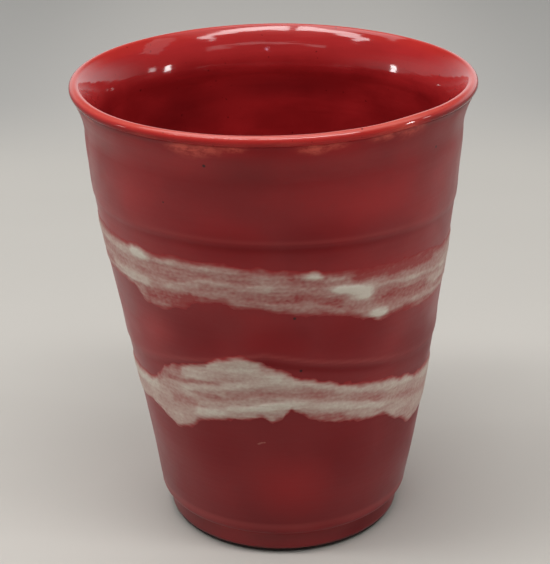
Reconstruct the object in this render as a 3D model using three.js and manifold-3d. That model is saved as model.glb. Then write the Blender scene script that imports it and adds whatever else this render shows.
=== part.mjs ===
// A wheel-thrown pottery vase: one clay body, a gloss coat inside and over the lip, a satin coat outside,
// and two brushed bands of white slip. Millimetres, +Z up, standing on z = 0, with its front towards -Y.
import * as THREE from "three";
import { mergeVertices } from "three/addons/utils/BufferGeometryUtils.js";
import Module from "manifold-3d";

// Overall size and coats
const HEIGHT = 140; // table to the top of the glazed lip
const GLAZE = 0.5; // thickness of both glaze coats
const SLIP = 0.6; // how far the brushed bands stand out from the glaze
const WALL = 3.6; // clay wall, measured level

// Foot: a turned ring with a shallow hollow under it, set in below the wall by a soft step
const FOOT_RADIUS = 35.4;
const FOOT_HEIGHT = 6.6; // table to where the foot starts to swell out
const FOOT_ROUND = 1.2; // rounding where the ring meets the table
const STEP_HEIGHT = 4.6;
const STEP_OUT = 2.8;
const STEP_PULL = 2.9; // how upright the step starts and ends
const FOOT_RING_WIDTH = 7;
const HOLLOW_DEPTH = 2.2;
const HOLLOW_SLOPE = 2; // how far the hollow's side leans in
const DRY_BAND = 0.4; // bare clay left above the rounding, below the outer glaze

// Wall: leans out from the step, rounds over at the shoulder and stands upright at the neck
const NECK_RADIUS = 54.5;
const NECK_DROP = 14; // below the top of the vase
const SHOULDER_DROP = 13; // below the neck
const SHOULDER_SWELL = 0.7; // the shoulder's pull beyond the neck's radius

// Lip: a small round bead on a flare. Its angles go round the bead from level, outside, over the top.
const LIP_FLARE = 3.8; // how far the bead stands out from the neck
const LIP_RADIUS = 1.15;
const LIP_START = -35; // where the outer flare runs into the bead
const LIP_END = 137; // where the bead runs into the inner flare
const FLARE_PULL = 4; // how upright the flare stays above the neck, outside and inside
const BEAD_PULL = 2.6; // how straight the outer flare runs into the bead
const INNER_PULL = 5.3; // how straight the bead runs into the inner flare

// Inside
const FLOOR_HEIGHT = 9; // table to the clay floor inside
const FLOOR_ROUND = 14;

// Marks of throwing: soft ridges left by the fingers, and a foot that stands a little towards +X of the rim
const RIDGE_HEIGHTS = [69, 107];
const RIDGE_PROUD = 0.5;
const RIDGE_SPREAD = 3.2;
const LEAN = 1.57;
const LEAN_FROM = 21;
const LEAN_TO = 112;

// Brushed bands. Each station is degrees from the front, then how far the slip reaches up and down
// from the band's height there.
const LOWER_BAND_HEIGHT = 55;
const BAND_SPACING = 38; // from the lower band's height to the upper one's
const UPPER_BAND_EDGE = [
  [-88, 7.5, 7], [-60, 7.4, 5.5], [-47, 9.1, 10], [-41, 7.6, 10], [-31, 8.2, 7.8], [-26, 8.1, 5.2],
  [-17, 8.4, 3.9], [-5, 7.5, 5], [8, 6.2, 7], [12, 6.9, 7], [16, 5.6, 7.4], [22, 5, 9], [29, 4.8, 11.6],
  [34, 4.6, 13.3], [40, 4.4, 12.6], [55, 3.8, 14.2], [65, 1.5, 15], [90, 2, 13], [135, 4, 10],
  [180, 6, 7], [225, 7, 7],
];
const LOWER_BAND_EDGE = [
  [-88, 0, 11], [-60, 0.8, 9.4], [-54, 1.6, 10.2], [-50, 4, 12], [-45, 7.6, 13.2], [-40, 9, 11.6],
  [-30, 12, 7], [-20, 15, 4.6], [-13, 16.4, 3], [-8, 16, 2.8], [-4, 14.6, 4.8], [0, 13, 4.6],
  [4, 9.8, 1.4], [9, 9.2, 5.6], [15, 7.9, 5.8], [22, 6, 7], [30, 4.3, 8.2], [40, 3.3, 9.4],
  [50, 1.8, 13], [60, -0.5, 16.5], [90, -2, 16], [135, 1, 13], [180, 5, 10], [225, 3, 10],
];

// Facets
const TURN_STEPS = 45;
const EDGE_STEPS = 90;
const WALL_STEPS = 7;

const wasm = await Module();
wasm.setup();

const at = (radius, height) => new THREE.Vector2(radius, height);

// Points along a curve without its last one, so that the next stretch starts there.
const along = (curve, steps) => curve.getPoints(steps).slice(0, -1);

function arc(centre, radius, fromDegrees, toDegrees, steps) {
  const from = THREE.MathUtils.degToRad(fromDegrees);
  const to = THREE.MathUtils.degToRad(toDegrees);
  return along(new THREE.EllipseCurve(centre.x, centre.y, radius, radius, from, to, to < from), steps);
}

// Key points of the section, as radius and height
const footTop = at(FOOT_RADIUS, FOOT_HEIGHT);
const stepTop = at(FOOT_RADIUS + STEP_OUT, FOOT_HEIGHT + STEP_HEIGHT);
const neck = at(NECK_RADIUS, HEIGHT - NECK_DROP);
const shoulder = at(NECK_RADIUS + SHOULDER_SWELL, neck.y - SHOULDER_DROP);
const bead = at(NECK_RADIUS + LIP_FLARE - LIP_RADIUS, HEIGHT - GLAZE - LIP_RADIUS);
const innerNeck = at(NECK_RADIUS - WALL, neck.y);
const innerShoulder = at(shoulder.x - WALL, shoulder.y);
const taper = (shoulder.x - stepTop.x) / (shoulder.y - stepTop.y);
const floorRise = FLOOR_HEIGHT + FLOOR_ROUND;
const floorEdge = at(stepTop.x - WALL + taper * (floorRise - stepTop.y), floorRise);

// A point on the bead, and one a run past it along the bead's tangent.
function onBead(degrees) {
  const turn = THREE.MathUtils.degToRad(degrees);
  return at(bead.x + LIP_RADIUS * Math.cos(turn), bead.y + LIP_RADIUS * Math.sin(turn));
}

function besideBead(degrees, run) {
  const turn = THREE.MathUtils.degToRad(degrees);
  const spot = onBead(degrees);
  return at(spot.x - run * Math.sin(turn), spot.y + run * Math.cos(turn));
}

// Underside and bare ring, from the axis out to the glaze line.
function dryFootSection() {
  const inner = FOOT_RADIUS - FOOT_RING_WIDTH;
  return [
    at(0, HOLLOW_DEPTH),
    at(inner - HOLLOW_SLOPE, HOLLOW_DEPTH),
    at(inner, 0),
    ...arc(at(FOOT_RADIUS - FOOT_ROUND, FOOT_ROUND), FOOT_ROUND, -90, 0, 2),
    at(FOOT_RADIUS, FOOT_ROUND),
  ];
}

// Share of the way along the wall's curve at a height, from the curve's quadratic in that share.
function shareAtHeight(height) {
  const square = stepTop.y - 2 * shoulder.y + neck.y;
  const linear = 2 * (shoulder.y - stepTop.y);
  return (Math.sqrt(linear * linear - 4 * square * (stepTop.y - height)) - linear) / (2 * square);
}

function ridgeAt(height) {
  const share = RIDGE_HEIGHTS.map((ridge) => Math.exp(-(((height - ridge) / RIDGE_SPREAD) ** 2)));
  return RIDGE_PROUD * share.reduce((sum, each) => sum + each, 0);
}

// Heights of the wall's rows: three over each ridge, then even steps where no ridge is near.
function wallHeights() {
  const ridges = RIDGE_HEIGHTS.flatMap((ridge) => [ridge, ridge - RIDGE_SPREAD, ridge + RIDGE_SPREAD]);
  const steps = Array.from({ length: WALL_STEPS - 1 }, (_, i) => (i + 1) / WALL_STEPS);
  const even = steps.map((share) => THREE.MathUtils.lerp(stepTop.y, neck.y, share));
  const rows = [stepTop.y, neck.y];
  for (const height of [...ridges, ...even]) {
    const inside = height > stepTop.y && height < neck.y;
    if (inside && rows.every((row) => Math.abs(row - height) > 0.8 * RIDGE_SPREAD)) rows.push(height);
  }
  return rows.slice(2).sort((a, b) => a - b);
}

// Outside of the clay under the outer glaze, from the glaze line up to the bead.
function outsideSection() {
  const wall = new THREE.QuadraticBezierCurve(stepTop, shoulder, neck);
  const wallRows = wallHeights().map((height) => {
    const row = wall.getPoint(shareAtHeight(height));
    return at(row.x + ridgeAt(height), row.y);
  });
  const stepStart = at(footTop.x, footTop.y + STEP_PULL);
  const stepEnd = at(stepTop.x, stepTop.y - STEP_PULL);
  const step = new THREE.CubicBezierCurve(footTop, stepStart, stepEnd, stepTop);
  const neckRun = at(neck.x, neck.y + FLARE_PULL);
  const beadRun = besideBead(LIP_START, -BEAD_PULL);
  const flare = new THREE.CubicBezierCurve(neck, neckRun, beadRun, onBead(LIP_START));
  return [
    at(FOOT_RADIUS, FOOT_ROUND + DRY_BAND),
    ...along(step, 5),
    stepTop,
    ...wallRows,
    ...along(flare, 3),
  ];
}

// Clay under the gloss coat: over the bead, down the inside and across the floor to the axis.
function insideSection() {
  const neckRun = at(innerNeck.x, innerNeck.y + FLARE_PULL);
  const beadRun = besideBead(LIP_END, INNER_PULL);
  const lipRun = new THREE.CubicBezierCurve(onBead(LIP_END), beadRun, neckRun, innerNeck);
  const wall = new THREE.QuadraticBezierCurve(innerNeck, innerShoulder, floorEdge);
  const hollow = at(floorEdge.x - taper * FLOOR_ROUND, FLOOR_HEIGHT);
  const floorStart = at(hollow.x - FLOOR_ROUND, FLOOR_HEIGHT);
  return [
    ...arc(bead, LIP_RADIUS, LIP_START, 90, 3),
    ...arc(bead, LIP_RADIUS, 90, LIP_END, 2),
    ...along(lipRun, 3),
    ...along(wall, 3),
    ...along(new THREE.QuadraticBezierCurve(floorEdge, hollow, floorStart), 3),
    floorStart,
    at(0, FLOOR_HEIGHT),
  ];
}

// The row moved out from the section by a thickness, square to the stretches on both sides of it.
function movedOut(section, i, thickness) {
  const here = section[i];
  const square = (from, to) => at(to.y - from.y, from.x - to.x).normalize();
  const before = i > 0 ? square(section[i - 1], here) : square(here, section[i + 1]);
  const after = i < section.length - 1 ? square(here, section[i + 1]) : before;
  const way = before.clone().add(after).normalize();
  return here.clone().addScaledVector(way, thickness / way.dot(before));
}

const coatFace = (section, thickness) => section.map((row, i) => movedOut(section, i, thickness));

// The thrown lean: each level ring is shifted whole, so coats keep the same faces as the clay.
function leaned(geometry) {
  const spots = geometry.getAttribute("position");
  for (let i = 0; i < spots.count; i++) {
    const climb = THREE.MathUtils.smoothstep(spots.getZ(i), LEAN_FROM, LEAN_TO);
    spots.setX(i, spots.getX(i) + LEAN * (1 - climb));
  }
  return geometry;
}

// A section turned round the vase's axis.
const turned = (section) => leaned(new THREE.LatheGeometry(section, TURN_STEPS).rotateX(Math.PI / 2));

function toSolid(geometry) {
  const bare = new THREE.BufferGeometry();
  bare.setAttribute("position", geometry.getAttribute("position"));
  bare.setIndex(geometry.getIndex());
  const joined = mergeVertices(bare, 1e-3);
  const vertProperties = joined.getAttribute("position").array;
  const triVerts = joined.getIndex().array;
  return new wasm.Manifold(new wasm.Mesh({ numProp: 3, vertProperties, triVerts }));
}

function toGeometry(solid) {
  const mesh = solid.getMesh();
  const geometry = new THREE.BufferGeometry();
  geometry.setAttribute("position", new THREE.BufferAttribute(mesh.vertProperties, 3));
  geometry.setIndex(new THREE.BufferAttribute(mesh.triVerts, 1));
  return geometry;
}

// How far a band reaches at an angle, eased between the stations on both sides.
function reachAt(stations, column, degrees) {
  const after = stations.findIndex((station) => station[0] > degrees);
  const next = after < 0 ? [stations[0][0] + 360, ...stations[0].slice(1)] : stations[after];
  const last = stations.at(after < 0 ? -1 : after - 1);
  const share = THREE.MathUtils.smoothstep(degrees, last[0], next[0]);
  return THREE.MathUtils.lerp(last[column], next[column], share);
}

// A thick ring whose top and bottom follow the brushed edges; it cuts a band out of a slip coat.
function brushedRing(height, stations, innerRadius, outerRadius) {
  const spots = [];
  const faces = [];
  for (let i = 0; i < EDGE_STEPS; i++) {
    const degrees = stations[0][0] + (360 * i) / EDGE_STEPS;
    const turn = THREE.MathUtils.degToRad(degrees);
    const top = height + reachAt(stations, 1, degrees);
    const bottom = height - reachAt(stations, 2, degrees);
    const corners = [[innerRadius, bottom], [outerRadius, bottom], [outerRadius, top], [innerRadius, top]];
    for (const [radius, z] of corners) spots.push(radius * Math.sin(turn), -radius * Math.cos(turn), z);
    for (let side = 0; side < 4; side++) {
      const here = 4 * i + side;
      const beside = 4 * i + ((side + 1) % 4);
      const ahead = 4 * ((i + 1) % EDGE_STEPS) + side;
      const across = 4 * ((i + 1) % EDGE_STEPS) + ((side + 1) % 4);
      faces.push(here, ahead, beside, beside, ahead, across);
    }
  }
  const geometry = new THREE.BufferGeometry();
  geometry.setAttribute("position", new THREE.Float32BufferAttribute(spots, 3));
  geometry.setIndex(faces);
  return toSolid(leaned(geometry));
}

const dryFoot = dryFootSection();
const outside = outsideSection();
const inside = insideSection();
const claySection = [...dryFoot, ...outside, ...inside];
const glazedSection = coatFace(claySection, GLAZE);
const glazeLine = dryFoot.length;
const coatJoin = dryFoot.length + outside.length;

function clayBody() {
  return turned(claySection);
}

function outerGlaze() {
  const under = claySection.slice(glazeLine, coatJoin + 1);
  const face = glazedSection.slice(glazeLine, coatJoin + 1);
  return turned([...face, ...under.reverse(), face[0]]);
}

function linerGlaze() {
  const under = claySection.slice(coatJoin);
  const face = glazedSection.slice(coatJoin);
  return turned([...under.reverse(), ...face]);
}

// A slip band: a coat laid on the outer glaze's own rows, cut to the brushed edges.
function slipBand(height, stations) {
  const lowest = height - Math.max(...stations.map((station) => station[2]));
  const highest = height + Math.max(...stations.map((station) => station[1]));
  const face = glazedSection.slice(glazeLine, coatJoin + 1);
  const first = face.findLastIndex((row) => row.y < lowest);
  const last = face.findIndex((row) => row.y > highest);
  const under = face.slice(first, last + 1);
  const top = coatFace(under, SLIP);
  const coat = toSolid(turned([...top, ...[...under].reverse(), top[0]]));
  const margin = LEAN + WALL;
  const ring = brushedRing(height, stations, under[0].x - margin, top.at(-1).x + margin);
  return toGeometry(coat.intersect(ring));
}

const vase = new THREE.Group();

function addPart(name, geometry, color, roughness) {
  geometry.computeVertexNormals();
  const part = new THREE.Mesh(geometry, new THREE.MeshStandardMaterial({ color, roughness, metalness: 0 }));
  part.name = name;
  vase.add(part);
}

addPart("clay_body", clayBody(), 0x5c4034, 0.85);
addPart("liner_glaze", linerGlaze(), 0x93161a, 0.12);
addPart("outer_glaze", outerGlaze(), 0x7c2528, 0.42);
addPart("upper_slip_band", slipBand(LOWER_BAND_HEIGHT + BAND_SPACING, UPPER_BAND_EDGE), 0xb8a296, 0.5);
addPart("lower_slip_band", slipBand(LOWER_BAND_HEIGHT, LOWER_BAND_EDGE), 0xc0ada0, 0.5);

export default vase;
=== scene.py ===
"""Dresses the thrown vase: smooth glazed coats, brushed slip bands, a pale floor and soft studio light."""
import math

import bpy
import numpy as np
from mathutils import Matrix, Vector, noise


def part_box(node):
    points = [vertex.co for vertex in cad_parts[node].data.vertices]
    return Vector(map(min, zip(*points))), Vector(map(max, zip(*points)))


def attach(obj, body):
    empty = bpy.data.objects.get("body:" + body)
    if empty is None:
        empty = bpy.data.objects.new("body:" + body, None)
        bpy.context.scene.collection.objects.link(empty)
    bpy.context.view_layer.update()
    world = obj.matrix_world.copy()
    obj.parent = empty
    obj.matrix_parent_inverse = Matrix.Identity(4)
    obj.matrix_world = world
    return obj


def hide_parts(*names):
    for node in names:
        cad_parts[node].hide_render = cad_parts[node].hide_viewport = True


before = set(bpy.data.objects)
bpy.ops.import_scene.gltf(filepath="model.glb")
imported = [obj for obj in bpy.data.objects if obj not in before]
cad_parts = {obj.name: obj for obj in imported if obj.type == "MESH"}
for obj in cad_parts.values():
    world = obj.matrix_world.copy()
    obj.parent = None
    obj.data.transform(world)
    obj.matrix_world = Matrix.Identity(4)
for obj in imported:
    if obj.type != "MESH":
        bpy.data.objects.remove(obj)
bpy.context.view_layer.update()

MM = 0.001

# The thrown section, in millimetres and degrees: the solids' section, but with its step 0.9 lower
# and its foot, wall and lean within 0.5 of theirs
HEIGHT = 1000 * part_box("liner_glaze")[1][2]
GLAZE = 0.5
WALL = 3.6
FOOT_RADIUS = 35.2
FOOT_FLARE = 0.3  # how much larger the foot's radius is at the table
FOOT_HEIGHT = 5.7
FOOT_ROUND = 1.2
FOOT_RING_WIDTH = 7.0
HOLLOW_DEPTH = 2.2
HOLLOW_SLOPE = 2.0
DRY_BAND = 0.4
STEP_HEIGHT = 4.6
STEP_OUT = 3.2
STEP_PULL = 2.9
STEP_TOP = FOOT_HEIGHT + STEP_HEIGHT
STEP_UNDER = STEP_TOP - 2.2  # the middle of the step's underside
CREASE = STEP_TOP - 2.8  # where that underside is seen almost edge on
NECK_RADIUS = 54.5
NECK_DROP = 14.0
SHOULDER_DROP = 13.0
SHOULDER_SWELL = 0.5
LIP_FLARE = 3.8
LIP_RADIUS = 1.15
LIP_OUT = NECK_RADIUS + LIP_FLARE
LIP_START = -35.0
LIP_END = 137.0
FLARE_PULL = 4.0
BEAD_PULL = 2.6
INNER_PULL = 5.3
FLOOR_HEIGHT = 9.0
FLOOR_ROUND = 14.0

# How far the form and its foot lie to the side, and the heights over which that fades
LEAN = 1.75
LEAN_FROM = 35.0
LEAN_TO = 118.0
FOOT_SHIFT = -0.4
SHIFT_FROM = STEP_TOP - 2.0
SHIFT_TO = STEP_TOP + 16.0

# A slow wobble of the hand: its depth, the heights over which it sets in, and its two waves, each
# as its share, its count round the vase, its twist per millimetre of height and its start
WOBBLE = 0.12
WOBBLE_FROM = 12
WOBBLE_TO = 60
WOBBLE_WAVES = [(0.6, 2, 0.05, 0.0), (0.4, 3, -0.035, 1.0)]

# Finger ridges: how proud, the fall below the crest, the fade above it, and the crest's course as
# degrees from the front, height and strength
RIDGES = [
    (0.36, 2.0, 9.0, [
        (-100, 108.6, 0.8), (-55, 108.2, 0.5), (-31, 108.4, 0.9), (0, 107.9, 1.0), (31, 107.2, 1.0),
        (57, 106.2, 0.7), (100, 105.0, 0.9), (180, 107.0, 1.0),
    ]),
    (0.50, 2.4, 8.0, [
        (-110, 62.5, 0.8), (-60, 63.4, 0.4), (-30, 68.2, 0.9), (-5, 72.6, 1.0), (10, 70.0, 1.0),
        (30, 67.0, 1.0), (43, 65.0, 0.6), (57, 63.4, 0.5), (100, 62.0, 0.8), (180, 66.0, 0.9),
    ]),
]
CREST_FLAT = 0.5  # the flat top of a crest
CREST_SPREAD = 0.9  # how far from it the glaze is thin and a highlight is painted
HOLLOW_AT = 0.8  # where the glaze gathers below it, with painted shade, as a share of the fall
HOLLOW_SPREAD = 1.6  # how far it spreads from there

# The rim's unevenness: degrees from the front and how far it lies above or below the true height,
# then the heights over which it sets in
RIM_LEVELS = [
    (-130, -0.25), (-90, -0.4), (-50, -1.0), (-22, -0.9), (9, -0.65), (22, -0.43), (43, 0.12),
    (57, 0.0), (90, -0.3), (130, -0.5), (180, 0.0),
]
RIM_FROM = 100
RIM_TO = 138

# Painted shade under the lip: degrees from the front and how much, then how far below the
# top it lies on the outer coat, and the degrees round the bead over which it ends on the liner
UNDER_LIP_SHADE = [
    (-120, 0.8), (-56, 0.9), (-35, 0.8), (-22, 0.4), (-10, 0.1), (0, 0.5), (9, 0.1), (38, 0.0),
    (47, 1.0), (60, 1.25), (120, 0.7), (180, 0.7),
]
UNDER_LIP_SHADE_DROP = 3.0
UNDER_LIP_SHADE_SPREAD = 1.1
UNDER_LIP_SHADE_END = (-12, 34)
# A painted highlight on the lip's crest, where the glaze also thins: degrees from the front and how
# much, then the degrees round the bead over which it begins and ends
LIP_CREST_HIGHLIGHT = [
    (-120, 0.6), (-56, 0.8), (-35, 1.0), (20, 1.0), (36, 1.35), (48, 0.8), (57, 0.55), (120, 0.6),
]
HIGHLIGHT_START = (25, 52)
HIGHLIGHT_END = (95, 130)

# Brushed bands: the height, the slip's cover before the strokes, how far in from its edge it thins
# out, and the edge as degrees from the front and the reach up and down from that height
UPPER_BAND_HEIGHT = 93.0
UPPER_BAND_BODY = 0.37
UPPER_BAND_FEATHER = 2.6
UPPER_BAND_EDGE = [
    (-88, 9.2, 7), (-60, 8.4, 5.5), (-53, 8.4, 6), (-47, 9.1, 10), (-41, 7.6, 10), (-31, 8.8, 7.8),
    (-26, 8.1, 5.2), (-17, 8.7, 3.9), (-13, 8, 5.5), (-5, 7.6, 5.7), (1, 7.0, 6.6), (8, 6.3, 7.7),
    (11.5, 6.9, 7.6), (15, 5.6, 8.0), (22, 5.0, 9.5), (29, 4.8, 11.6), (34, 4.6, 13.3), (40, 4.4, 12.6),
    (55, 3.8, 14.2), (65, 1.5, 15), (90, 2, 13), (135, 4, 10), (180, 6, 7), (225, 7, 7),
]
LOWER_BAND_HEIGHT = 55.0
LOWER_BAND_BODY = 0.57
LOWER_BAND_FEATHER = 1.9
LOWER_BAND_EDGE = [
    (-88, 0, 11), (-70, 0.4, 11), (-60, 0.8, 9.4), (-54, 1.6, 10.2), (-50, 4, 12), (-45, 8.2, 13.2),
    (-40, 10.2, 12.2), (-30, 12.2, 7.4), (-20, 16.0, 5.5), (-13, 17.4, 4.8), (-8, 16.3, 3.4),
    (-4, 14.6, 5.2), (-0.8, 13.2, 4.6), (1.2, 12.6, 2.0), (3, 12.0, 1.0), (4.6, 10.8, 1.8),
    (7, 10.0, 2.8), (10, 9.6, 4.9), (15, 8.3, 5.8), (22, 6.6, 7), (30, 5.2, 8.2), (40, 4.0, 9.0),
    (50, 1.8, 13.6), (60, -0.5, 17.9), (90, -2, 16), (135, 1, 13), (180, 5, 10), (225, 3, 10),
]

# Brush marks: how much slip is added or wiped away, half width, and the path in degrees and height
UPPER_STROKES = [
    (0.22, 1.4, [(-95, 98), (-66, 98.6), (-50, 98.6)]),
    (0.22, 1.3, [(-41, 99.4), (-33, 99.8), (-20, 99.8), (-9, 99.4)]),
    (-0.08, 1.5, [(-41, 94.6), (-33, 96.0), (-25, 97.2), (-15, 97.4), (-5, 97.0)]),
    (0.24, 1.1, [(-38, 91.4), (-31, 92.6), (-22, 95.0), (-10, 94.3), (0, 93.9)]),
    (0.34, 1.8, [(-66, 91.4), (-56, 90.8), (-47, 90.6), (-42, 91.0)]),
    (-0.26, 2.6, [(-48, 86.0), (-38, 86.8), (-25, 88.8)]),
    (0.14, 0.7, [(-46, 83.8), (-38, 84.6), (-30, 86.2)]),
    (-0.18, 1.0, [(-32, 88.6), (-24, 89.5), (-19.5, 89.8)]),
    (-0.12, 1.2, [(-12, 91.0), (-5, 91.0), (8, 90.8)]),
    (0.22, 0.8, [(-14, 88.6), (-5, 88.0), (2, 86.9), (10, 86.0), (22, 85.2)]),
    (-0.16, 1.6, [(2, 97.0), (8, 96.0), (16, 95.6)]),
    (0.16, 1.4, [(14, 97.2), (22.5, 96.6)]),
    (-0.20, 1.4, [(4, 91.2), (10, 90.8), (14, 89.8), (22, 87.6)]),
    (-0.30, 2.0, [(22, 95.8), (34, 95.6), (46, 95.0), (60, 94.4)]),
    (0.20, 0.7, [(28, 91.8), (36, 91.6), (46, 90.4), (56, 89.2), (72, 87.2)]),
    (-0.19, 1.7, [(29, 88.0), (44, 86.6), (58, 85.2)]),
    (0.20, 0.8, [(47, 83.0), (60, 81.6), (74, 80.2)]),
    (-0.24, 1.6, [(42, 81.4), (51, 80.3)]),
    (0.22, 1.2, [(55, 86.4), (62, 85.4), (74, 84)]),
    (0.25, 2.2, [(64, 88), (90, 88), (120, 92)]),
    (0.30, 1.5, [(100, 86), (165, 91)]),
    (0.30, 1.7, [(130, 97), (200, 96)]),
    (0.28, 2.0, [(175, 91), (250, 93)]),
    (-0.20, 1.4, [(140, 89), (190, 88)]),
]
LOWER_STROKES = [
    (0.26, 1.9, [(-98, 52), (-75, 52.6), (-62, 53.6), (-50, 54.4)]),
    (0.08, 2.4, [(-60, 46.6), (-48, 45.6), (-39, 46.4)]),
    (-0.25, 1.9, [(-53, 57.0), (-47, 60.0), (-42, 61.8), (-36, 63.2)]),
    (0.22, 2.8, [(-38, 63.8), (-30, 65.4), (-20, 67.6), (-12, 68.6), (2, 66.8)]),
    (-0.28, 0.8, [(-46, 59.2), (-37, 60.2), (-28, 61.4), (-20, 62.0)]),
    (0.18, 1.2, [(-39, 57.6), (-25, 60.4), (-12, 62.8), (-3, 63.8), (8, 63.4), (20, 60.4), (30, 58.0),
                 (42, 56.8)]),
    (0.18, 1.4, [(40, 57.0), (50, 55.4), (60, 53.2), (78, 49.0)]),
    (-0.16, 1.5, [(-22, 58.0), (-10, 59.6), (0, 59.8), (10, 59.2), (20, 57.2), (30, 55.2), (42, 52.0),
                  (50, 49.8), (74, 45.0)]),
    (-0.24, 1.8, [(-46, 52.0), (-39, 53.6), (-31, 53.2)]),
    (-0.20, 1.0, [(-35, 57.2), (-21, 57.0)]),
    (-0.18, 0.9, [(-33, 55.4), (-18, 56.6)]),
    (-0.22, 1.6, [(-9, 68.6), (-5, 68.4), (1, 67.4)]),
    (0.36, 1.3, [(-35, 50.2), (-28, 51.0), (-20, 53.0), (-10, 54.8), (-2, 55.6)]),
    (0.28, 1.3, [(-5, 55.4), (0, 55.8), (8, 55.7), (20, 54.2), (30, 52.4), (41, 49.8)]),
    (0.05, 2.0, [(38, 50.0), (50, 47.4), (60, 44.4), (72, 41.2), (92, 40)]),
    (-0.30, 1.2, [(-4, 51.2), (2, 51.4)]),
    (-0.32, 1.3, [(5, 52.0), (14, 51.4), (24, 50.2)]),
    (-0.20, 1.0, [(20, 49.8), (30, 48.6)]),
    (0.30, 2.2, [(90, 48), (150, 48)]),
    (0.30, 1.8, [(120, 44), (190, 47)]),
    (0.32, 2.4, [(165, 58), (235, 56)]),
    (0.30, 2.2, [(180, 50), (262, 50)]),
    (-0.28, 1.4, [(135, 53), (185, 54)]),
]
STROKE_TAPER = 3  # degrees over which a stroke begins and ends
STROKE_WAVER = 0.5
# Daubs of thick slip: degrees from the front, height, half length in degrees, half height, and the
# rise per degree
DAUBS = [
    (-46.0, 99.7, 5.0, 2.2, 0.05), (10.8, 98.2, 3.8, 1.6, 0.0), (21.0, 92.5, 5.0, 1.4, -0.1),
    (26.6, 90.7, 4.4, 2.3, -0.1), (32.8, 82.0, 4.4, 2.2, 0.03),
]
DAUB_COVER = 0.8
DAUB_WAVER = 0.5

# The slip's skin: its thickness, how deep it sinks where it is bare, its limits, and the grains that
# make it uneven, each as its share, its length round the vase and its height
SLIP_THICKNESS = 0.55
SLIP_BED = 0.35
SLIP_CROWN = 0.7  # a power below 1, so that thin slip stands prouder than its cover says
COVER_LEAST = 0.06
COVER_MOST = 1.3
EDGE_SOFT = 0.1
BAND_MARGIN = 2.0
BAND_STEP = 0.34
WAVER_GRAIN = (3.5, 2.2)
RAG_GRAINS = [(0.5, *WAVER_GRAIN), (0.35, 1.5, 0.9), (0.45, 4.5, 0.6)]
COVER_GRAINS = [(0.15, 7.0, 3.2), (0.11, 14.0, 0.9), (0.05, 4.0, 0.5), (0.15, 1.0, 0.7)]

# Patches in the glazes: degrees from the front, height, half length round the wall and half height.
# They are thin and peach below the lip and on it, partly a painted highlight on the lip, brighter and
# darker on the wall, partly painted light and shade, duller on the wall, and painted shade inside
PEACH_PATCHES = [
    (-25, 136.0, 6.0, 2.2), (-22, 135.0, 6.0, 2.8), (-17, 136.0, 6.5, 2.6), (-10, 136.6, 4.0, 1.6),
    (10, 136.4, 5.5, 2.4), (11, 135.8, 4.5, 2.0), (16, 136.4, 4.5, 1.6), (30, 136.6, 6.0, 1.8),
    (39, 136.4, 6.5, 3.0), (-60, 136.6, 4.0, 1.0), (110, 136.4, 5.0, 1.6), (150, 136.0, 6.0, 1.8),
    (-140, 136.4, 7.0, 1.4),
]
LIP_PEACH_AND_HIGHLIGHT_PATCHES = [
    (35, 139.2, 8.0, 1.2), (33, 138.0, 9.0, 1.6), (37, 138.2, 6.0, 1.8), (-35, 137.8, 6.0, 1.0),
]
BRIGHT_PATCHES = [
    (2, 26, 15.0, 14.0), (29, 118, 15.0, 9.0), (-45, 118, 14.0, 10.0), (-46, 76, 10.0, 7.0),
    (20, 133, 13.0, 5.0), (-22, 131, 12.0, 6.0), (-24, 4, 12.0, 5.0), (4, 2.5, 18.0, 3.2),
    (-12, 136, 10.0, 3.0), (15, 136, 12.0, 3.0), (110, 112, 16.0, 9.0), (175, 70, 18.0, 10.0),
    (-130, 30, 15.0, 10.0),
]
DARK_PATCHES = [
    (-30, 40, 16.0, 20.0), (27, 40, 17.0, 20.0), (-29, 76, 15.0, 12.0), (24, 78, 17.0, 12.0),
    (0, 77, 16.0, 9.0), (-14, 107, 24.0, 9.0), (14, 108, 20.0, 10.0), (50, 42, 18.0, 22.0),
    (54, 66, 14.0, 12.0), (62, 40, 15.0, 24.0), (66, 62, 12.0, 12.0), (20, 10.5, 9.0, 2.2),
    (40, 3, 11.0, 4.5), (48, 4.5, 15.0, 5.0), (54, 5, 13.0, 6.0), (-120, 80, 18.0, 16.0),
    (140, 30, 18.0, 14.0),
]
DULL_PATCH = (66, 45, 24.0, 36.0)
LINER_PAINTED_SHADE = [(178, 121, 26.0, 5.5), (-143, 115, 22.0, 10.0)]
PATCH_TOP = 0.9  # a patch's strength at its middle
PATCH_END = 1.15  # where it has faded out, in half lengths

# Small firing flaws in the outer glaze: degrees from the front, height and radius
PINHOLES = [
    (-19, 130.8, 0.55), (5, 84.8, 0.5), (53, 127.8, 0.45), (6.6, 67.5, 0.5), (-33, 118, 0.3),
    (150, 100, 0.5),
]
PINHOLE_CORE = 0.5  # the darkest part, as a share of the radius
# One short scratch as a row of spots: degrees from the front, height and half length
SCRATCH = [(-9.6, 42.1, 0.6), (-9.0, 42.4, 0.6), (-8.3, 42.6, 0.6), (-7.4, 42.7, 0.5)]
SCRATCH_HALF_WIDTH = 0.3

# Colours as sRGB, 0 to 255
SATIN_RED = (157, 26, 30)
SATIN_DEEP = (140, 21, 26)
# Darker red for thick glaze, also used to paint shade
SATIN_THICK_AND_SHADED = (120, 18, 24)
# Brighter red for thin glaze, also used to paint light
SATIN_THIN_AND_LIT = (190, 36, 38)
SATIN_SPECK = (142, 38, 40)
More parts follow.
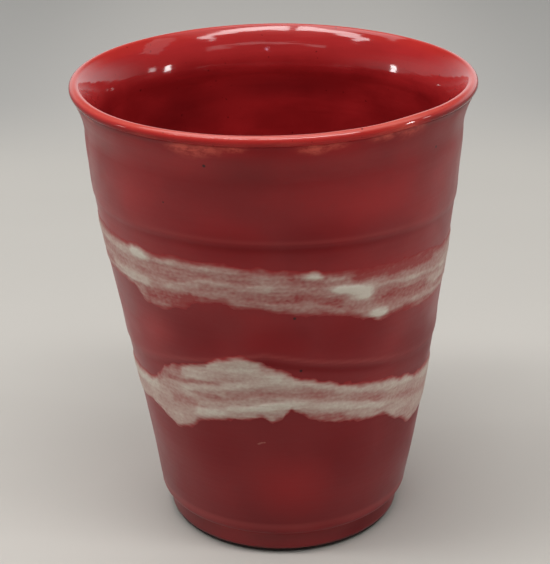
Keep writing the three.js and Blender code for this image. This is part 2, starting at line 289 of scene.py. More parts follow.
# Pink for glaze that breaks thin, also used to paint highlights on the step's edge and the ridges' crests
BREAK_AND_HIGHLIGHT_PINK = (196, 92, 88)
PINHOLE_DARK = (40, 14, 16)
SCRATCH_PALE = (180, 110, 100)
GLOSS_RED = (178, 38, 41)
GLOSS_DEEP = (152, 29, 32)
GLOSS_PAINTED_SHADE = (116, 22, 26)
GLOSS_PIT = (60, 10, 12)
THIN_PEACH = (216, 92, 78)
FLARE_RED = (198, 58, 58)
LIP_RUST = (202, 54, 46)
CREST_HIGHLIGHT_PEACH = (218, 98, 86)
SLIP_CREAM = (224, 214, 200)
BARE_CLAY = (58, 38, 34)
DARK_CLAY = (42, 28, 26)
CLOTH = (203, 199, 192)
CLOTH_DIM = (201, 197, 190)
CLOTH_FAR = (198, 195, 190)
CLOTH_CORNER = (182, 180, 176)

# How strongly each colour covers what lies under it, where 1 hides it
DARK_SHARE = 0.5
BRIGHT_SHARE = 0.33
OUTER_LIP_SHADE_SHARE = 0.85
LINER_PAINTED_SHADE_SHARE = 0.65
LIP_SHARE = 0.5
CREST_HIGHLIGHT_SHARE = 0.7
LINER_LIP_SHADE_SHARE = 0.72

# Where a mix node keeps its share, its two colours and its result
MIX_SHARE = 0
MIX_FIRST = 6
MIX_SECOND = 7
MIX_RESULT = 2

# Mesh detail
COAT_COLUMNS = 256
CLAY_COLUMNS = 128
BAND_COLUMNS = 880
BEAD_STEPS = 22
AXIS_GAP = 0.05  # the smallest radius, so that no face at the axis is empty
CENTRE_RING = 0.3  # an extra ring round the middle of the liner's floor
FLOOR_REACH = 3.0  # metres from the vase to the floor's edge

# The photograph's height, focal length and view shift in pixels, and its camera in metres and degrees
PHOTO_HEIGHT = 564
FOCAL_PIXELS = 1535
VIEW_SHIFT = (6.7, 12.0)
VIEW_DISTANCE = 0.4705
VIEW_ELEVATION = 23.91
VIEW_ROLL = -0.83
VIEW_TARGET = Vector((0.00157, 0.0, 0.070))
SENSOR_WIDTH = 36

# Ceiling strips, in metres: name, place to the side and in depth, width and length
CEILING_STRIPS = [
    ("ceiling_left", -0.51, -0.27, 0.67, 0.20),
    ("ceiling_right", 0.257, -0.35, 0.755, 0.20),
    ("left_end", -0.88, -0.28, 0.10, 0.28),
    ("right_end", 0.66, -0.46, 0.09, 0.26),
]
CEILING_HEIGHT = 1.15
CEILING_TURN = -6
CEILING_RADIANCE = 9.2
# Other lamps: name, place, the spot that it shines on, width, depth and radiance, where 1 is white
FOOT_SPOT = (0, 0, 0)
LIP_SPOT = (0, 0.04, 0.13)
LAMPS = [
    ("back_ceiling", (-0.35, 0.35, 1.3), FOOT_SPOT, 1.1, 0.8, 1.72),
    ("front_strip", (0.10, -1.10, 1.10), (0, 0.05, 0.135), 2.06, 0.12, 1.4),
    ("left_window", (-1.6, -0.02, 0.44), LIP_SPOT, 0.13, 0.26, 20.0),
    ("right_window", (1.56, -0.38, 0.44), LIP_SPOT, 0.13, 0.30, 20.0),
    ("right_pane", (1.6, 0.0, 0.46), LIP_SPOT, 0.16, 0.20, 6.0),
    ("right_ceiling", (0.95, 0.10, 1.0), (0, 0, 0.135), 0.35, 0.5, 0.8),
]
CAMERA_LAMP = ("camera_lamp", (0.03, -0.50, 0.44), (0, 0.05, 0.13), 0.014, 0.014, 12.0)
CAMERA_LAMP_TINT = (0.9, 0.75, 1.0)

# The room's light, where 1 is white: the walls by degrees round from the front, towards +X first,
# how narrow each is, the rise over which the walls end and the ceiling begins, and the ceiling
ROOM_WALLS = [(135, 0.78), (180, 0.79), (225, 0.30), (270, 0.54)]
ROOM_WALL_POWER = 6.0
ROOM_WALL_END = (0.2, 0.5)
ROOM_TOP_START = (0.75, 0.95)
ROOM_TOP = 0.94
ROOM_TINT = (0.98, 0.99, 1.0, 1)


def smoothstep(value, low, high):
    share = np.clip((value - low) / (high - low), 0, 1)
    return share * share * (3 - 2 * share)


def around(columns):
    """Angles evenly round the vase, from its front."""
    return np.linspace(0, 2 * math.pi, columns, endpoint=False)


def arc(centre, radius, from_degrees, to_degrees, steps):
    turn = np.radians(np.linspace(from_degrees, to_degrees, steps + 1))
    return np.column_stack([centre[0] + radius * np.cos(turn), centre[1] + radius * np.sin(turn)])


def bezier(points, steps):
    """Points along a Bezier curve of any degree."""
    share = np.linspace(0, 1, steps + 1)[:, None]
    degree = len(points) - 1
    terms = [math.comb(degree, i) * share**i * (1 - share) ** (degree - i) for i in range(degree + 1)]
    return sum(term * np.array(point) for term, point in zip(terms, points))


def joined(*stretches):
    """Stretches of a section laid end to end, without the doubled points."""
    rows = np.vstack([np.atleast_2d(stretch) for stretch in stretches])
    keep = np.append(True, np.linalg.norm(np.diff(rows, axis=0), axis=1) > 1e-6)
    return rows[keep]


def section():
    """The clay's outline as radius and height, in three stretches: bare foot, outside and inside."""
    base = FOOT_RADIUS + FOOT_FLARE
    ring = base - FOOT_RING_WIDTH
    dry_top = (base, FOOT_ROUND + DRY_BAND)
    foot_top = (FOOT_RADIUS, FOOT_HEIGHT)
    foot_pull = (FOOT_RADIUS, FOOT_HEIGHT + STEP_PULL)
    ledge = (FOOT_RADIUS + STEP_OUT, STEP_TOP)
    ledge_pull = (ledge[0], ledge[1] - STEP_PULL)
    neck = (NECK_RADIUS, HEIGHT - NECK_DROP)
    shoulder = (NECK_RADIUS + SHOULDER_SWELL, neck[1] - SHOULDER_DROP)
    taper = (shoulder[0] - ledge[0]) / (shoulder[1] - ledge[1])
    bead = (LIP_OUT - LIP_RADIUS, HEIGHT - GLAZE - LIP_RADIUS)
    start = math.radians(LIP_START)
    bead_start = (bead[0] + LIP_RADIUS * math.cos(start), bead[1] + LIP_RADIUS * math.sin(start))
    bead_run = (bead_start[0] + BEAD_PULL * math.sin(start), bead_start[1] - BEAD_PULL * math.cos(start))
    end = math.radians(LIP_END)
    bead_end = (bead[0] + LIP_RADIUS * math.cos(end), bead[1] + LIP_RADIUS * math.sin(end))
    inner_run = (bead_end[0] - INNER_PULL * math.sin(end), bead_end[1] + INNER_PULL * math.cos(end))
    inner_neck = (neck[0] - WALL, neck[1])
    inner_shoulder = (shoulder[0] - WALL, shoulder[1])
    floor_rise = FLOOR_HEIGHT + FLOOR_ROUND
    floor_edge = (ledge[0] - WALL + taper * (floor_rise - ledge[1]), floor_rise)
    hollow = (floor_edge[0] - taper * FLOOR_ROUND, FLOOR_HEIGHT)
    floor_start = (hollow[0] - FLOOR_ROUND, FLOOR_HEIGHT)
    foot = joined(
        [(0, HOLLOW_DEPTH), (ring - HOLLOW_SLOPE, HOLLOW_DEPTH), (ring, 0)],
        arc((base - FOOT_ROUND, FOOT_ROUND), FOOT_ROUND, -90, 0, steps=8),
        dry_top,
    )
    outside = joined(
        bezier([dry_top, foot_top], steps=6),
        bezier([foot_top, foot_pull, ledge_pull, ledge], steps=14),
        bezier([ledge, shoulder, neck], steps=150),
        bezier([neck, (neck[0], neck[1] + FLARE_PULL), bead_run, bead_start], steps=16),
    )
    inside = joined(
        arc(bead, LIP_RADIUS, LIP_START, LIP_END, BEAD_STEPS),
        bezier([bead_end, inner_run, (inner_neck[0], inner_neck[1] + FLARE_PULL), inner_neck], steps=24),
        bezier([inner_neck, inner_shoulder, floor_edge], steps=80),
        bezier([floor_edge, hollow, floor_start], steps=14),
        bezier([floor_start, (0, FLOOR_HEIGHT)], steps=6),
    )
    return foot, outside, inside


def moved_out(rows, thickness):
    """The section moved out by a thickness, square to it."""
    along = np.gradient(rows, axis=0)
    along /= np.linalg.norm(along, axis=1)[:, None]
    return rows + thickness * np.column_stack([along[:, 1], -along[:, 0]])


FOOT_ROWS, OUTSIDE_ROWS, INSIDE_ROWS = section()
OUTER_FACE = moved_out(OUTSIDE_ROWS, GLAZE)
LINER_FACE = moved_out(INSIDE_ROWS, GLAZE)


def outer_radius(height):
    return np.interp(height, OUTER_FACE[:, 1], OUTER_FACE[:, 0])


def eased(stations, column, degrees):
    """One column of a ring of stations at some angles, eased from each station to the next."""
    first = stations[0]
    ends = [*stations, (first[0] + 360, *first[1:])]
    degrees = (degrees - first[0]) % 360 + first[0]
    reach = np.zeros_like(degrees)
    for last, following in zip(ends, ends[1:]):
        here = (degrees >= last[0]) & (degrees <= following[0])
        share = smoothstep(degrees[here], last[0], following[0])
        reach[here] = last[column] + (following[column] - last[column]) * share
    return reach


def placed(angle, radius, height):
    """Points of the thrown form, in metres: round, with its lean, its wobble and its uneven rim."""
    waves = [share * np.sin(count * angle + twist * height + start)
             for share, count, twist, start in WOBBLE_WAVES]
    radius = radius + WOBBLE * sum(waves) * smoothstep(height, WOBBLE_FROM, WOBBLE_TO)
    x = radius * np.sin(angle) + LEAN * (1 - smoothstep(height, LEAN_FROM, LEAN_TO))
    x = x + FOOT_SHIFT * (1 - smoothstep(height, SHIFT_FROM, SHIFT_TO))
    rise = eased(RIM_LEVELS, 1, np.degrees(angle)) * smoothstep(height, RIM_FROM, RIM_TO)
    return MM * np.stack([x, -radius * np.cos(angle), height + rise + 0 * radius], -1)


def ridges_at(angle, height):
    """For each finger ridge: how proud it stands, its fall and fade, and the height above its crest."""
    for proud, fall, fade, crest in RIDGES:
        angles, levels, strengths = zip(*crest)
        strength = np.interp(np.degrees(angle), angles, strengths, period=360)
        level = np.interp(np.degrees(angle), angles, levels, period=360)
        yield proud * strength, fall, fade, height - level


def ridged(angle, radius, height):
    """The outside's radius with its finger ridges: each falls away quickly below and slowly above."""
    for proud, fall, fade, away in ridges_at(angle, height):
        radius = radius + proud * smoothstep(away, -fall, 0) * (1 - smoothstep(away, CREST_FLAT, fade))
    return radius


def glaze_depth_and_ridge_shade(angle, height):
    """How thick the outer glaze lies, with painted light: under 0.5 on a ridge's crest, where a highlight
    is painted, over 0.5 below it, where shade is painted, 0.5 elsewhere.
    """
    depth = 0.5 + 0 * angle * height
    for proud, fall, _, away in ridges_at(angle, height):
        hollow = np.exp(-(((away + HOLLOW_AT * fall) / HOLLOW_SPREAD) ** 2))
        crest = np.exp(-(((away - CREST_FLAT) / CREST_SPREAD) ** 2))
        depth += proud * (hollow - crest)
    return depth


def ringed(spots, closed):
    """The points of rings, one under another, as a flat list with the faces between them."""
    rings, columns = spots.shape[:2]
    faces = []
    for ring in range(rings if closed else rings - 1):
        here = ring * columns
        above = (ring + 1) % rings * columns
        for i in range(columns):
            following = (i + 1) % columns
            faces.append((here + i, here + following, above + following, above + i))
    return spots.reshape(-1, 3), faces


def new_piece(name, spots, faces):
    mesh = bpy.data.meshes.new(name)
    mesh.from_pydata([tuple(spot) for spot in spots], [], faces)
    mesh.validate()
    mesh.shade_smooth()
    piece = bpy.data.objects.new(name, mesh)
    bpy.context.collection.objects.link(piece)
    return piece


def turned(name, rows, columns, shape=None, closed=False):
    """A mesh of a section turned round the axis. shape may change the radius by angle and height."""
    angle = around(columns)
    radius = rows[:, :1] + 0 * angle
    height = rows[:, 1:]
    if shape is not None:
        radius = shape(angle, radius, height)
    return new_piece(name, *ringed(placed(angle, radius, height), closed))


def store(piece, name, values):
    """Keeps a value for each point of a mesh, for its material to read."""
    layer = piece.data.attributes.new(name, "FLOAT", "POINT")
    layer.data.foreach_set("value", np.ravel(values).astype(np.float32))


def streaks(spots, along, across):
    """Noise drawn out along the brush: its grain is so many millimetres long and so many high."""
    grain = spots / (MM * np.array([along, along, across]))
    values = [noise.noise(Vector(spot)) for spot in grain.reshape(-1, 3)]
    return np.array(values).reshape(spots.shape[:-1])


def grained(spots, grains):
    """Several grains of streaks added up by their shares."""
    return sum(share * streaks(spots, along, across) for share, along, across in grains)


def brushed(degrees, heights, strokes, jitter):
    """The slip that the strokes add or wipe away over a grid of angles and heights."""
    added = np.zeros(jitter.shape)
    for amount, half_width, path in strokes:
        angles, levels = zip(*path)
        first, last = angles[0], angles[-1]
        along = (degrees - first) % 360 + first
        away = (heights - np.interp(along, angles, levels) + STROKE_WAVER * jitter) / half_width
        begun = smoothstep(along, first, first + STROKE_TAPER)
        ended = smoothstep(along, last - STROKE_TAPER, last)
        added += amount * begun * (1 - ended) * np.exp(-(away**4))
    return added


def daubed(degrees, heights, jitter):
    """Rounded daubs of thick slip over a grid of angles and heights."""
    added = np.zeros(jitter.shape)
    for centre, level, half_length, half_height, tilt in DAUBS:
        along = (degrees - centre + 180) % 360 - 180
        away = (along / half_length) ** 2 + ((heights - level - tilt * along) / half_height) ** 2
        added += DAUB_COVER * np.exp(-((np.maximum(away + DAUB_WAVER * jitter, 0)) ** 2))
    return added


def slip_band(name, height, stations, strokes, body, feather):
    """A band of slip: a skin that stands proud where the brush left it and sinks in where it is bare."""
    low = height - max(entry[2] for entry in stations) - BAND_MARGIN
    high = height + max(entry[1] for entry in stations) + BAND_MARGIN
    heights = np.linspace(low, high, round((high - low) / BAND_STEP))[:, None]
    angles = around(BAND_COLUMNS)
    degrees = np.degrees(angles)
    wall = ridged(angles, outer_radius(heights), heights)
    bed = placed(angles, wall, heights)
    waver = streaks(bed, *WAVER_GRAIN)
    top = height + eased(stations, 1, degrees)
    bottom = height - eased(stations, 2, degrees)
    inside = np.minimum(top - heights, heights - bottom) + grained(bed, RAG_GRAINS)
    cover = body + brushed(degrees, heights, strokes, waver) + daubed(degrees, heights, waver)
    cover += grained(bed, COVER_GRAINS)
    cover = np.clip(cover, COVER_LEAST, COVER_MOST) * smoothstep(inside, -EDGE_SOFT, feather)
    proud = SLIP_THICKNESS * cover**SLIP_CROWN
    sunk = np.maximum(inside, -1) * SLIP_BED
    skin = placed(angles, wall + np.where(inside > -EDGE_SOFT, proud, sunk), heights)
    under = placed(angles, wall[[-1, 0]] - 2 * SLIP_BED, heights[[-1, 0]])
    band = new_piece(name, *ringed(np.concatenate([skin, under]), closed=True))
    store(band, "slip_cover", np.append(cover, np.zeros(2 * BAND_COLUMNS)))
    return band


def colour(value):
    """A colour socket as it is, or an sRGB triple of 0 to 255 as a linear colour."""
    if isinstance(value, bpy.types.NodeSocket):
        return value
    shares = [each / 255 for each in value]
    linear = [each / 12.92 if each <= 0.04045 else ((each + 0.055) / 1.055) ** 2.4 for each in shares]
    return (*linear, 1.0)


class Nodes:
    """A short way to add nodes to a material or the world, and to set or link their inputs."""

    def __init__(self, owner, shader="Principled BSDF"):
        owner.use_nodes = True
        self.owner = owner
        self.tree = owner.node_tree
        self.shader = self.tree.nodes[shader]

    def feed(self, socket, value):
        if isinstance(value, bpy.types.NodeSocket):
            self.tree.links.new(value, socket)
        else:
            socket.default_value = value

    def add(self, kind, inputs=(), output=0, **settings):
        node = self.tree.nodes.new(kind)
        for key, value in settings.items():
            setattr(node, key, value)
        for key, value in dict(inputs).items():
            self.feed(node.inputs[key], value)
        return node.outputs[output]

    def math(self, operation, first, second=0.0):
        return self.add("ShaderNodeMath", {0: first, 1: second}, operation=operation)

    def times(self, first, second):
        return self.math("MULTIPLY", first, second)

    def away(self, value, centre):
        """How far a value lies from a centre, either way."""
        return self.math("ABSOLUTE", self.math("SUBTRACT", value, centre))

    def ramp(self, value, low, high, to_low=0.0, to_high=1.0):
        """A value eased from one result at low to another at high."""
        inputs = {"Value": value, "From Min": low, "From Max": high, "To Min": to_low, "To Max": to_high}
        return self.add("ShaderNodeMapRange", inputs, interpolation_type="SMOOTHSTEP")

    def place(self, scale=(1, 1, 1)):
        """Object coordinates in millimetres, times a scale for each axis."""
        spot = self.add("ShaderNodeTexCoord", output="Object")
        stretch = [1000 * each for each in scale]
        return self.add("ShaderNodeVectorMath", {0: spot, 1: stretch}, operation="MULTIPLY")

    def along(self, axis):
        """One object coordinate in millimetres. Along Z it is the height above the table."""
        return self.add("ShaderNodeSeparateXYZ", {0: self.place()}, output=axis)

    def girth(self):
        """Distance from the upright axis in millimetres."""
        flat = self.place((1, 1, 0))
        return self.add("ShaderNodeVectorMath", {0: flat}, "Value", operation="LENGTH")

    def noise(self, scale, detail=3.0, rough=0.5):
        """Noise from 0 to 1 whose features are as many millimetres wide as scale says for each axis."""
        spot = self.place([1 / each for each in scale])
        inputs = {"Vector": spot, "Scale": 1.0, "Detail": detail, "Roughness": rough}
        return self.add("ShaderNodeTexNoise", inputs)

    def attribute(self, name):
        """A value that was stored for each point of the mesh."""
        return self.add("ShaderNodeAttribute", attribute_name=name, output="Fac")

    def mix(self, share, first, second):
        """A colour that goes from the first to the second with its share."""
        inputs = {MIX_SHARE: share, MIX_FIRST: colour(first), MIX_SECOND: colour(second)}
        return self.add("ShaderNodeMix", inputs, output=MIX_RESULT, data_type="RGBA")

    def blot(self, degrees, level, length, rise, core=0.0):
        """A patch on the wall, round a spot, that fades out to a half length and a half height."""
        turn = math.radians(degrees)
        spot = placed(np.array([turn]), np.array([outer_radius(level)]), np.array([level]))[0]
        squeeze = np.array([1 / length, 1 / length, 1 / rise])
        centre = [float(each) for each in spot / MM * squeeze]
        inputs = {0: self.place([float(each) for each in squeeze]), 1: centre}
        away = self.add("ShaderNodeVectorMath", inputs, "Value", operation="DISTANCE")
        return self.ramp(away, core, PATCH_END, PATCH_TOP, 0.0)

    def bump(self, value, distance):
        inputs = {"Height": value, "Distance": distance, "Strength": 1.0}
        self.feed(self.shader.inputs["Normal"], self.add("ShaderNodeBump", inputs))

    def finish(self, **values):
        """Feeds the shader's own inputs and gives back what the nodes belong to."""
        for key, value in values.items():
            self.feed(self.shader.inputs[key.replace("_", " ")], value)
        return self.owner


def new_material(name):
    return Nodes(bpy.data.materials.new(name))


def satin_colour(make, height, depth, dark):
    """Mottled red, darker towards the bottom, with dark and bright patches that are partly painted shade
    and light, painted shade above the step, below the ridges and under the lip, painted highlights on the
    step's edge and on the ridges' crests, and peach below the lip.
    """
    mottle = make.ramp(make.noise((26, 26, 18), 4.0), 0.35, 0.68)
    shade = make.mix(mottle, SATIN_DEEP, SATIN_RED)
    fine = make.ramp(make.noise((1.6, 1.6, 1.6), 2.0), 0.52, 0.72, 0.0, 0.22)
    shade = make.mix(fine, shade, SATIN_SPECK)
    # Dark patches: partly the glaze's own tone, partly painted shade, as on the foot's right and the
    # wall's lower right
    for patch in dark:
        shade = make.mix(make.times(patch, DARK_SHARE), shade, SATIN_THICK_AND_SHADED)
    # Darker towards the bottom of the wall, and painted shade just above the step
    shade = make.mix(make.ramp(height, 15.0, 105.0, 0.5, 0.0), shade, SATIN_THICK_AND_SHADED)
    shade_above_step = make.times(make.ramp(height, STEP_TOP - 0.2, STEP_TOP + 2.3),
                            make.ramp(height, STEP_TOP + 2.8, STEP_TOP + 12.8, 0.5, 0.0))
    shade = make.mix(shade_above_step, shade, SATIN_THICK_AND_SHADED)
    # Bright patches: partly the glaze's own tone, partly painted light, as on the foot's left and front
    for patch in BRIGHT_PATCHES:
        shade = make.mix(make.times(make.blot(*patch), BRIGHT_SHARE), shade, SATIN_THIN_AND_LIT)
    # A painted highlight along the step's edge
    step_highlight = make.times(make.ramp(height, STEP_TOP - 1.0, STEP_TOP + 0.6),
                           make.ramp(height, STEP_TOP + 1.0, STEP_TOP + 2.4, 0.18, 0.0))
    shade = make.mix(step_highlight, shade, BREAK_AND_HIGHLIGHT_PINK)
    # Painted shade below each ridge's crest and a painted highlight on it, where the glaze also gathers
    # and thins
    shade = make.mix(make.ramp(depth, 0.5, 1.0, 0.0, 0.40), shade, SATIN_THICK_AND_SHADED)
    shade = make.mix(make.ramp(depth, 0.0, 0.5, 0.25, 0.0), shade, BREAK_AND_HIGHLIGHT_PINK)
    # Painted shade under the lip
    shade = make.mix(make.times(make.attribute("under_lip_shade"), OUTER_LIP_SHADE_SHARE), shade, SATIN_THICK_AND_SHADED)
    broken = make.ramp(make.noise((3.0, 3.0, 1.5), 4.0, 0.65), 0.34, 0.64, 0.15, 1.0)
    for patch in PEACH_PATCHES:
        shade = make.mix(make.times(make.blot(*patch), broken), shade, THIN_PEACH)
    for degrees, level, radius in PINHOLES:
        shade = make.mix(make.blot(degrees, level, radius, radius, PINHOLE_CORE), shade, PINHOLE_DARK)
    for degrees, level, length in SCRATCH:
        shade = make.mix(make.blot(degrees, level, length, SCRATCH_HALF_WIDTH), shade, SCRATCH_PALE)
    return shade


def satin_gloss(make, height, depth, dark):
    """How strongly the satin coat reflects: most on the foot, least in the crease and below the lip."""
    gloss = make.ramp(depth, 0.5, 1.0, 0.29, 0.12)
    thick = 0.0
    for patch in dark:
        thick = make.math("MAXIMUM", patch, thick)
    factors = [
        make.ramp(make.away(height, STEP_UNDER), 0.7, 1.6, 0.68, 1.0),
        make.ramp(make.away(height, CREASE), 0.4, 1.0, 0.25, 1.0),
        make.ramp(height, 10.0, 100.0, 0.78, 1.0),
        make.ramp(height, STEP_TOP - 5.3, STEP_TOP - 2.8, 1.85, 0.95),
        make.ramp(thick, 0.0, PATCH_TOP, 1.0, 0.6),
        make.ramp(make.blot(*DULL_PATCH), 0.0, PATCH_TOP, 1.0, 0.3),
        make.ramp(height, HEIGHT - 10.0, HEIGHT - 4.0, 1.0, 0.3),
    ]
    for factor in factors:
        gloss = make.times(gloss, factor)
    return gloss


def satin_glaze():
    """The outer coat: a deep red with a soft sheen, pinholes and one short scratch."""
    make = new_material("satin_red_glaze")
    height = make.along("Z")
    depth = make.attribute("glaze_depth_and_ridge_shade")
    dark = [make.blot(*patch) for patch in DARK_PATCHES]
    ripple = make.times(make.noise((40, 40, 1.6), 2.0), 0.5)
    grain = make.times(make.noise((1.1, 1.1, 1.1), 2.0), 0.12)
    make.bump(make.math("ADD", ripple, grain), 0.12 * MM)
    return make.finish(
        Base_Color=satin_colour(make, height, depth, dark),
        Roughness=make.ramp(make.noise((12, 12, 12), 3.0), 0.3, 0.7, 0.34, 0.46),
        Specular_IOR_Level=satin_gloss(make, height, depth, dark),
        Sheen_Weight=make.ramp(make.away(height, CREASE), 0.4, 1.2, 0.0, 0.10),
        Sheen_Roughness=0.5,
    )


def gloss_glaze():
    """The liner: a wet deep red, rustier where it thins over the lip, with a few pits, painted shade
    inside and under the lip, a painted reflection near the lip and a painted highlight on its crest.
    """
    make = new_material("gloss_red_glaze")
    height = make.along("Z")
    mottle = make.ramp(make.noise((20, 20, 10), 4.0), 0.35, 0.7)
    shade = make.mix(mottle, GLOSS_DEEP, GLOSS_RED)
    # Painted shade on the left and back of the inner wall
    for patch in LINER_PAINTED_SHADE:
        shade = make.mix(make.times(make.blot(*patch), LINER_PAINTED_SHADE_SHARE), shade, GLOSS_PAINTED_SHADE)
    # Brighter and paler towards the lip inside: a painted reflection of the room, where the glaze also
    # thins
    shade = make.mix(make.ramp(height, HEIGHT - 13.0, HEIGHT - 6.0, 0.0, 0.5), shade, FLARE_RED)
    lip = make.ramp(height, HEIGHT - 4.0, HEIGHT - 1.0)
    shade = make.mix(make.times(lip, LIP_SHARE), shade, LIP_RUST)
    # A painted highlight on the lip's crest, where the glaze also thins
    shade = make.mix(make.times(make.attribute("lip_crest_highlight"), CREST_HIGHLIGHT_SHARE), shade, CREST_HIGHLIGHT_PEACH)
    # Painted shade under the lip, on the bead's outer side
    shade = make.mix(make.times(make.attribute("under_lip_shade"), LINER_LIP_SHADE_SHARE), shade, GLOSS_PAINTED_SHADE)
    # The lip's outer edge, where the glaze breaks thin
    thin = make.ramp(make.noise((14, 14, 3), 4.0, 0.6), 0.50, 0.72, 0.0, 0.25)
    outer_edge = make.ramp(make.girth(), LIP_OUT - 0.6, LIP_OUT)
    low_edge = make.ramp(height, HEIGHT - 2.2, HEIGHT - 1.2, 1.0, 0.0)
    shade = make.mix(make.times(make.times(outer_edge, low_edge), thin), shade, THIN_PEACH)
    broken = make.ramp(thin, 0.0, 0.12, 0.25, 0.75)
    # Peach where the glaze breaks thin on the lip's outer edge; on the right these patches also paint the
    # lip's highlight
    for patch in LIP_PEACH_AND_HIGHLIGHT_PATCHES:
        bare = make.times(make.times(make.blot(*patch), broken), outer_edge)
        shade = make.mix(bare, shade, THIN_PEACH)
    pits = make.ramp(make.noise((1.3, 1.3, 1.3), 1.0), 0.74, 0.8, 0.0, 0.7)
    shade = make.mix(pits, shade, GLOSS_PIT)
    make.bump(make.noise((30, 30, 2.2), 2.0), 0.10 * MM)
    under_lip = make.times(outer_edge, make.ramp(height, HEIGHT - 1.7, HEIGHT - 0.8, 1.0, 0.0))
    gloss = make.ramp(under_lip, 0.0, 1.0, 0.48, 0.12)
    gloss = make.times(gloss, make.ramp(height, HEIGHT - 2.0, HEIGHT - 1.0, 1.0, 1.35))
    return make.finish(Base_Color=shade, Roughness=0.08, Specular_IOR_Level=gloss)


def slip_glaze():
    """The brushed slip: cream where it is thick, red where it is thin, with fine drag marks."""
    make = new_material("white_slip")
    drag = make.noise((7, 7, 0.6), 3.0, 0.6)
    speck = make.noise((0.7, 0.7, 0.5), 2.0)
    uneven = make.math("ADD", make.times(drag, 0.20), make.times(speck, 0.26))
    worn = make.times(make.attribute("slip_cover"), make.math("ADD", uneven, 0.77))
    share = make.add("ShaderNodeMapRange", {"Value": worn, "From Max": 1.0})
    make.bump(make.math("ADD", drag, make.times(speck, 0.5)), 0.12 * MM)
    shade = make.mix(share, SATIN_RED, SLIP_CREAM)
    return make.finish(Base_Color=shade, Roughness=0.45, Specular_IOR_Level=0.35)


def bare_clay():
    """Dark dry stoneware with a fine grain."""
    make = new_material("clay")
    grog = make.ramp(make.noise((0.8, 0.8, 0.8), 3.0), 0.35, 0.7)
    make.bump(grog, 0.10 * MM)
    return make.finish(Base_Color=make.mix(grog, DARK_CLAY, BARE_CLAY), Roughness=0.85)


def floor_cloth():
    """Pale cloth with painted shade: a little darker where it runs back from the vase, and most in the far
    corners.
    """
    make = new_material("floor_cloth")
    slow = make.ramp(make.noise((220, 120, 200), 3.0), 0.3, 0.7)
    near = make.mix(slow, CLOTH_DIM, CLOTH)
    # Painted shade: darker towards the far corners and where the cloth runs back
    corner = make.ramp(make.math("ABSOLUTE", make.along("X")), 60.0, 190.0)
    far = make.mix(corner, CLOTH_FAR, CLOTH_CORNER)
    shade = make.mix(make.ramp(make.along("Y"), 290.0, 460.0), near, far)
    return make.finish(Base_Color=shade, Roughness=0.9, Specular_IOR_Level=0.1)


def dress(piece, node, material):
    """Gives a piece its material, hangs it on the root body and hides the solid that it stands for."""
    piece.data.materials.append(material)
    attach(piece, "root")
    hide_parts(node)


def make_clay():
    """The thrown clay, which shows only under the foot, so the rest of its section has fewer rows."""
    rows = joined(FOOT_ROWS, OUTSIDE_ROWS[::6], INSIDE_ROWS[::4], INSIDE_ROWS[-1])
    rows[[0, -1], 0] = AXIS_GAP
    dress(turned("clay", rows, CLAY_COLUMNS), "clay_body", bare_clay())


def make_outer_coat():
    """The satin coat: its face, and back along the clay with fewer rows."""
    rows = np.vstack([OUTER_FACE, OUTSIDE_ROWS[::-8]])
    coat = turned("outer_coat", rows, COAT_COLUMNS, ridged, closed=True)
    angle = around(COAT_COLUMNS)
    height = rows[:, 1:]
    store(coat, "glaze_depth_and_ridge_shade", glaze_depth_and_ridge_shade(angle, height))
    # Painted shade in a band under the lip
    lip_shade_band = np.exp(-(((height - HEIGHT + UNDER_LIP_SHADE_DROP) / UNDER_LIP_SHADE_SPREAD) ** 2))
    store(coat, "under_lip_shade", lip_shade_band * eased(UNDER_LIP_SHADE, 1, np.degrees(angle)))
    dress(coat, "outer_glaze", satin_glaze())


def make_liner_coat():
    """The gloss coat: over the lip's bead, down the inside to the floor, and back along the clay."""
    centre = LINER_FACE[-1]
    rows = np.vstack([LINER_FACE[:-1], centre + (CENTRE_RING, 0), centre, INSIDE_ROWS[::-6]])
    rows[:, 0] = np.maximum(rows[:, 0], AXIS_GAP)
    coat = turned("liner_coat", rows, COAT_COLUMNS, closed=True)
    degrees = np.degrees(around(COAT_COLUMNS))
    bead = np.full((len(rows), 1), 180.0)
    bead[:BEAD_STEPS + 1, 0] = np.linspace(LIP_START, LIP_END, BEAD_STEPS + 1)
    # A painted highlight on the lip's crest, where the glaze also thins
    crest = smoothstep(bead, *HIGHLIGHT_START) * (1 - smoothstep(bead, *HIGHLIGHT_END))
    store(coat, "lip_crest_highlight", crest * eased(LIP_CREST_HIGHLIGHT, 1, degrees))
    # Painted shade under the lip, on the bead's outer side
    store(coat, "under_lip_shade", eased(UNDER_LIP_SHADE, 1, degrees) * (1 - smoothstep(bead, *UNDER_LIP_SHADE_END)))
    dress(coat, "liner_glaze", gloss_glaze())


def make_bands():
    """The two brushed bands, in the same slip."""
    slip = slip_glaze()
    upper = slip_band("upper_band", UPPER_BAND_HEIGHT, UPPER_BAND_EDGE, UPPER_STROKES,
                      UPPER_BAND_BODY, UPPER_BAND_FEATHER)
    dress(upper, "upper_slip_band", slip)
    lower = slip_band("lower_band", LOWER_BAND_HEIGHT, LOWER_BAND_EDGE, LOWER_STROKES,
                      LOWER_BAND_BODY, LOWER_BAND_FEATHER)
    dress(lower, "lower_slip_band", slip)


def make_floor():
    """A plain pale floor."""
    reach = FLOOR_REACH
    spots = [(-reach, -reach, 0), (reach, -reach, 0), (reach, reach, 0), (-reach, reach, 0)]
    floor = new_piece("floor", spots, [(0, 1, 2, 3)])
    floor.data.materials.append(floor_cloth())


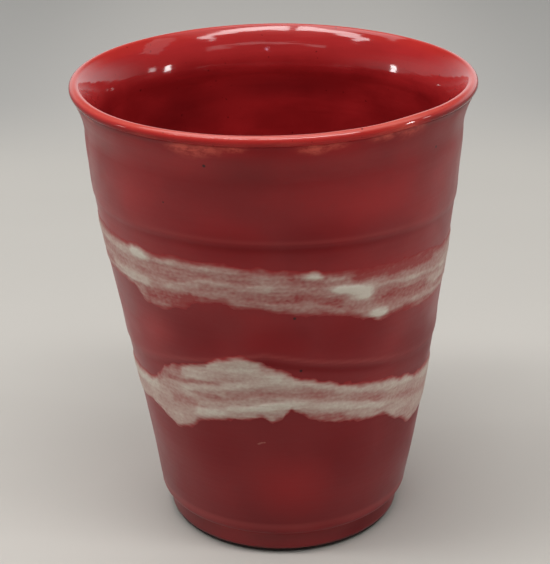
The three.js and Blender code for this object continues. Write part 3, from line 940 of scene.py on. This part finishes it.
def softbox(name, place, target, width, depth, radiance):
    """A rectangular lamp that shines on a target, as bright as its radiance says whatever its size."""
    light = bpy.data.lights.new(name, "AREA")
    light.shape = "RECTANGLE"
    light.size = width
    light.size_y = depth
    light.energy = math.pi * width * depth * radiance
    lamp = bpy.data.objects.new(name, light)
    lamp.location = place
    lamp.rotation_euler = (Vector(target) - Vector(place)).to_track_quat("-Z", "Y").to_euler()
    bpy.context.collection.objects.link(lamp)
    return lamp


def make_light():
    """Strips on the ceiling, lamps all round and a small one near the camera."""
    for name, side, depth, width, length in CEILING_STRIPS:
        place = (side, depth, CEILING_HEIGHT)
        strip = softbox(name, place, (side, depth, 0), width, length, CEILING_RADIANCE)
        strip.rotation_euler.z = math.radians(CEILING_TURN)
    for lamp in LAMPS:
        softbox(*lamp)
    softbox(*CAMERA_LAMP).data.color = CAMERA_LAMP_TINT


def make_room():
    """The room round the vase: lit low down behind it and to its left, pale above, dark in front."""
    make = Nodes(bpy.data.worlds.new("room"), "Background")
    way = make.add("ShaderNodeTexCoord", output="Generated")
    flat = make.add("ShaderNodeVectorMath", {0: way, 1: (1, 1, 0)}, operation="MULTIPLY")
    level = make.add("ShaderNodeVectorMath", {0: flat}, operation="NORMALIZE")
    rise = make.add("ShaderNodeSeparateXYZ", {0: way}, output="Z")
    low = make.ramp(rise, *ROOM_WALL_END, 1.0, 0.0)
    strength = make.times(make.ramp(rise, *ROOM_TOP_START), ROOM_TOP)
    for degrees, brightness in ROOM_WALLS:
        turn = math.radians(degrees)
        towards = {0: level, 1: (math.sin(turn), -math.cos(turn), 0)}
        facing = make.add("ShaderNodeVectorMath", towards, "Value", operation="DOT_PRODUCT")
        lobe = make.math("POWER", make.math("MAXIMUM", facing, 0.0), ROOM_WALL_POWER)
        wall = make.times(make.times(lobe, low), brightness)
        strength = make.math("ADD", strength, wall)
    bpy.context.scene.world = make.finish(Color=ROOM_TINT, Strength=strength)


def make_camera():
    """The camera that the photograph was taken from."""
    data = bpy.data.cameras.new("camera")
    data.sensor_width = SENSOR_WIDTH
    data.lens = FOCAL_PIXELS / PHOTO_HEIGHT * data.sensor_width
    data.shift_x = -VIEW_SHIFT[0] / PHOTO_HEIGHT
    data.shift_y = VIEW_SHIFT[1] / PHOTO_HEIGHT
    rise = math.radians(VIEW_ELEVATION)
    eye = VIEW_TARGET + VIEW_DISTANCE * Vector((0, -math.cos(rise), math.sin(rise)))
    tilt = Matrix.Rotation(math.pi / 2 - rise, 4, "X") @ Matrix.Rotation(math.radians(VIEW_ROLL), 4, "Z")
    camera = bpy.data.objects.new("camera", data)
    camera.matrix_world = Matrix.Translation(eye) @ tilt
    bpy.context.collection.objects.link(camera)
    bpy.context.scene.camera = camera


make_camera()
make_clay()
make_outer_coat()
make_liner_coat()
make_bands()
make_floor()
make_light()
make_room()
bpy.context.scene.view_settings.view_transform = "Standard"
